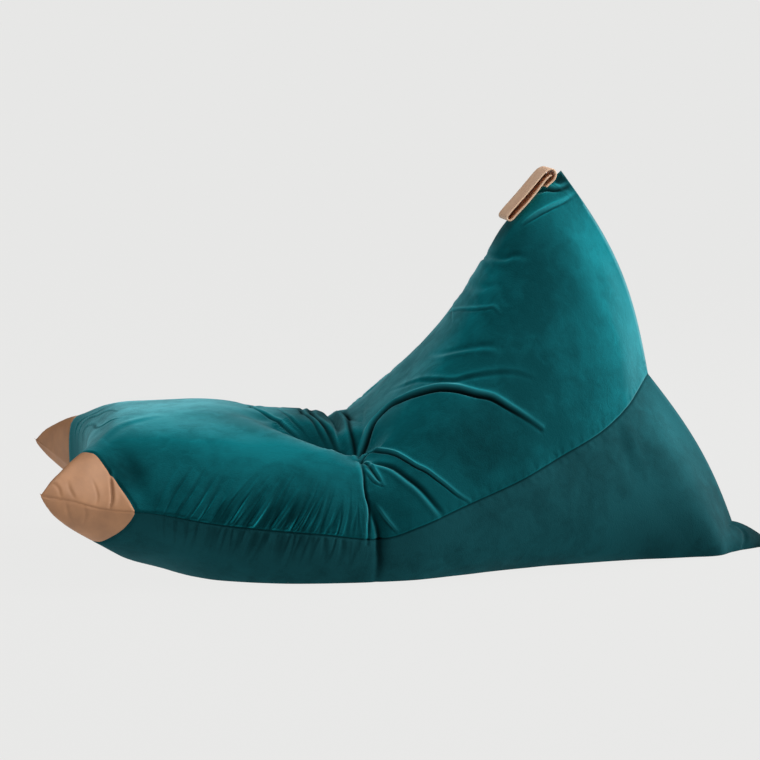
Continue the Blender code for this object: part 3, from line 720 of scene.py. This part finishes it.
# The handle: one strap of the leather, painted paler than the caps, partly its own paler tone and
# partly painted light on its face. It is sewn flat to the top of the back just in front of the apex,
# folded into a long flat loop and curled forward over itself, so that it hangs down in front.
STRAP_WIDTH, STRAP_LENGTH, STRAP_THICK, STRAP_LIFT = 0.100, 0.2995, 0.003, 0.0005
STRAP_STEPS, STRAP_COLUMNS = 6, 15             # steps from point to point, rows of points across
STRAP_ROOT_ROWS = (14.35, 14.48, 14.60)
STRAP_LOOP = [
    (.3305, .7225), (.3322, .7300), (.3295, .7372), (.3225, .7395), (.3120, .7345), (.2990, .7203),
    (.2815, .6995), (.2635, .6790), (.2465, .6600), (.2385, .6490), (.2405, .6430), (.2480, .6438),
    (.2598, .6565), (.2778, .6757), (.2940, .6952), (.3075, .7130), (.3165, .7235), (.3235, .7285),
]
crest = bag_point(STRAP_ROOT_ROWS, 1)[:, 1:]
slope = (crest[-1] - crest[0]) / np.linalg.norm(crest[-1] - crest[0])
root = crest + np.array([-slope[1], slope[0]]) * (STRAP_THICK / 2 + STRAP_LIFT)
strap_path = np.concatenate([root, STRAP_LOOP])
count = (len(strap_path) - 1) * STRAP_STEPS + 1
line = spline(strap_path, np.linspace(0, len(strap_path) - 1, count))
strap_skin = bmesh.new()
middle = [[strap_skin.verts.new((x, y, z)) for y, z in line]
          for x in np.linspace(-STRAP_WIDTH / 2, STRAP_WIDTH / 2, STRAP_COLUMNS)]
for edge, next_edge in zip(middle, middle[1:]):
    for i in range(count - 1):
        strap_skin.faces.new((edge[i], edge[i + 1], next_edge[i + 1], next_edge[i]))
# paler than the caps' leather: partly its own tone, partly painted light on the strap's face
strap_leather = tan_leather("tan_leather_painted_lighter", "ecbf9e", "f4cfb0")
strap = add_piece("leather_handle", strap_skin, strap_leather)
solidify = strap.modifiers.new("thickness", "SOLIDIFY")
solidify.thickness, solidify.offset = STRAP_THICK, 0
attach(strap, "root")
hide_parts("handle_strap")


# The plain pale floor, broad soft lights, most of them above and behind, and the photo's viewpoint.
# The floor glows a little, so that only a faint shadow shows under the bag, as in the photo.
PALE, FLOOR_GLOW = linear("e7e7e6"), 0.72
floor_paint = bpy.data.materials.new("pale_floor")
floor_paint.use_nodes = True
tree = floor_paint.node_tree
shader = tree.nodes["Principled BSDF"]
shader.inputs["Base Color"].default_value = linear("202020")
shader.inputs["Roughness"].default_value = 1.0
shader.inputs["Specular IOR Level"].default_value = 0.0
shader.inputs["Emission Color"].default_value = PALE
seen = add_node(tree, "ShaderNodeLightPath").outputs["Is Camera Ray"]
glow = add_node(tree, "ShaderNodeMapRange", {"To Min": FLOOR_GLOW, "To Max": 1.0}, Value=seen)
tree.links.new(glow.outputs["Result"], shader.inputs["Emission Strength"])
floor_mesh = bmesh.new()
bmesh.ops.create_grid(floor_mesh, x_segments=1, y_segments=1, size=400)
floor = add_piece("floor", floor_mesh, floor_paint)
floor.location.z = -0.0004      # just clear of the bag's flat underside

Lamp = namedtuple("Lamp", "name spot size power")
LAMPS = [
    Lamp("window", (1.5, 4.5, 2.0), 2.0, 118),
    Lamp("window_near", (3.5, 3.5, 2.6), 2.5, 56),
    Lamp("overhead", (0.0, 3.1, 3.5), 3.0, 92),
    Lamp("rear", (-2.3, 4.2, 1.4), 2.2, 143),
    Lamp("above", (0.0, 0.0, 4.0), 3.0, 55),
    Lamp("front_fill", (1.5, -4.5, 1.5), 3.0, 36),
]
for name, spot, size, power in LAMPS:
    lamp = bpy.data.lights.new(name, "AREA")
    lamp.size, lamp.energy = size, power
    fitting = bpy.data.objects.new(name, lamp)
    fitting.location = spot
    fitting.rotation_euler = (Vector((0, 0, 0.3)) - Vector(spot)).to_track_quat("-Z", "Y").to_euler()
    bpy.context.scene.collection.objects.link(fitting)
sky = bpy.data.worlds.new("studio")
sky.use_nodes = True
tree = sky.node_tree
tree.nodes.clear()
dim = add_node(tree, "ShaderNodeBackground", {"Color": PALE, "Strength": 0.02})
seen = add_node(tree, "ShaderNodeBackground", {"Color": PALE, "Strength": 1.0})
rays = add_node(tree, "ShaderNodeLightPath")
mix = add_node(tree, "ShaderNodeMixShader", Fac=rays.outputs["Is Camera Ray"],
               _1=dim.outputs["Background"], _2=seen.outputs["Background"])
add_node(tree, "ShaderNodeOutputWorld", Surface=mix.outputs["Shader"])
bpy.context.scene.world = sky
bpy.context.scene.view_settings.view_transform = "Standard"

LOOK_AT, DISTANCE = Vector((0, 0, 0.334)), 6.5
YAW, PITCH = math.radians(6.5), math.radians(6.12)
camera_data = bpy.data.cameras.new("camera")
camera_data.lens, camera_data.sensor_width = 160.1, 36
camera = bpy.data.objects.new("camera", camera_data)
view_line = Vector((math.cos(YAW) * math.cos(PITCH), -math.sin(YAW) * math.cos(PITCH), math.sin(PITCH)))
camera.location = LOOK_AT + DISTANCE * view_line
camera.rotation_euler = (-view_line).to_track_quat("-Z", "Y").to_euler()
bpy.context.scene.collection.objects.link(camera)
bpy.context.scene.camera = camera
